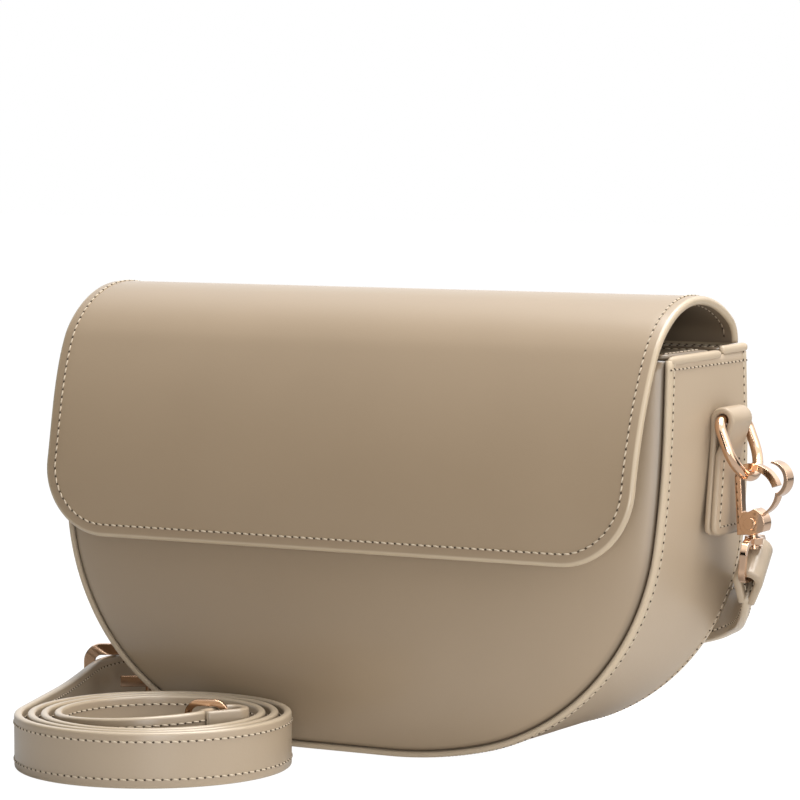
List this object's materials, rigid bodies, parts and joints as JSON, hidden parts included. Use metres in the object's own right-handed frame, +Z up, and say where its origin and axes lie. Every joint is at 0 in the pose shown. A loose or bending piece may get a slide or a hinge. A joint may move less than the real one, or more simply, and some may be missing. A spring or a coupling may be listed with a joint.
{
  "type": "saddle handbag",
  "caption": "Half-round saddle handbag with a long rounded front flap, side rings with swivel clasps and a buckled shoulder strap coiled beside it.",
  "frame": {"origin": "bottom centre of the bag's own box, without the strap and its clasps", "axes": "+X to the right of someone facing the front, +Z up, the front with the flap faces -Y"},
  "size_m": [0.3032, 0.2129, 0.1729],
  "materials": {
    "taupe_leather": "smooth semi-gloss",
    "gusset_leather": "smooth semi-gloss",
    "flap_lining": "smooth matt",
    "strap_leather": "smooth semi-gloss",
    "rose_gold": "polished plated",
    "magnet_steel": "polished",
    "spring_steel": "plain",
    "lining_fabric": "woven",
    "padding": "soft wadding",
    "board": "plain sheet"
  },
  "bodies": {
    "bag": {"gusset": "gusset_leather", "front_panel": "taupe_leather", "front_padding": "padding", "back_panel": "taupe_leather", "back_board": "board", "lining": "lining_fabric", "front_top_strip": "taupe_leather", "rear_top_strip": "taupe_leather", "panel_magnet": "magnet_steel", "side_tab_left": "gusset_leather", "side_tab_right": "gusset_leather", "strap_floor_run": "strap_leather", "strap_riser": "strap_leather", "strap_coil": "strap_leather", "strap_end_run": "strap_leather", "strap_loop_left": "strap_leather", "clasp_eye_left": "rose_gold", "buckle_frame": "rose_gold"},
    "flap": {"flap_outer": "taupe_leather", "flap_lining": "flap_lining", "flap_magnet": "magnet_steel"},
    "ring_left": {"d_ring_left": "rose_gold"},
    "ring_right": {"d_ring_right": "rose_gold"},
    "clasp_right": {"clasp_hook_right": "rose_gold", "clasp_rivet_right": "rose_gold", "clasp_spring_right": "spring_steel"},
    "lever_right": {"clasp_lever_right": "rose_gold"},
    "eye_right": {"clasp_eye_right": "rose_gold", "strap_loop_right": "strap_leather"},
    "clasp_left": {"clasp_hook_left": "rose_gold", "clasp_rivet_left": "rose_gold", "clasp_spring_left": "spring_steel"},
    "lever_left": {"clasp_lever_left": "rose_gold"},
    "prong": {"buckle_prong": "rose_gold"}
  },
  "joints": [
    {"name": "flap_hinge", "type": "hinge", "parent": "bag", "child": "flap", "pos_m": [0.0013, 0.04009, 0.153], "axis": [-1, 0, 0], "range_deg": [0, 130]},
    {"name": "ring_left_swing", "type": "hinge", "parent": "bag", "child": "ring_left", "pos_m": [-0.13475, 0.01774, 0.1266], "axis": [0, 1, 0], "range_deg": [0, 90]},
    {"name": "ring_right_swing", "type": "hinge", "parent": "bag", "child": "ring_right", "pos_m": [0.13475, 0.01774, 0.1266], "axis": [0, -1, 0], "range_deg": [0, 15], "deforming": ["strap_riser"]},
    {"name": "clasp_right_tilt", "type": "hinge", "parent": "ring_right", "child": "clasp_right", "pos_m": [0.14281, 0.01774, 0.10613], "axis": [0, -1, 0], "range_deg": [0, 8], "deforming": ["strap_riser"]},
    {"name": "lever_right_press", "type": "hinge", "parent": "clasp_right", "child": "lever_right", "pos_m": [0.14372, 0.01774, 0.08886], "axis": [0, -1, 0], "range_deg": [0, 5], "stiffness_Nm_per_rad": 0.2, "springref_deg": -11.46},
    {"name": "eye_right_swivel", "type": "hinge", "parent": "clasp_right", "child": "eye_right", "pos_m": [0.14398, 0.01774, 0.08386], "axis": [-0.0523, 0, 0.9986], "range_deg": [-10, 10], "deforming": ["strap_riser"]},
    {"name": "clasp_left_swivel", "type": "hinge", "parent": "bag", "child": "clasp_left", "pos_m": [-0.0303, -0.09443, 0.01305], "axis": [-0.9063, -0.4226, 0], "range_deg": [-20, 20]},
    {"name": "lever_left_press", "type": "hinge", "parent": "clasp_left", "child": "lever_left", "pos_m": [-0.03483, -0.09654, 0.01305], "axis": [0, 0, -1], "range_deg": [0, 5], "stiffness_Nm_per_rad": 0.2, "springref_deg": -11.46},
    {"name": "prong_swing", "type": "hinge", "parent": "bag", "child": "prong", "pos_m": [-0.11598, 0.01119, 0.0125], "axis": [0, 0, 1], "range_deg": [0, 100]}
  ]
}
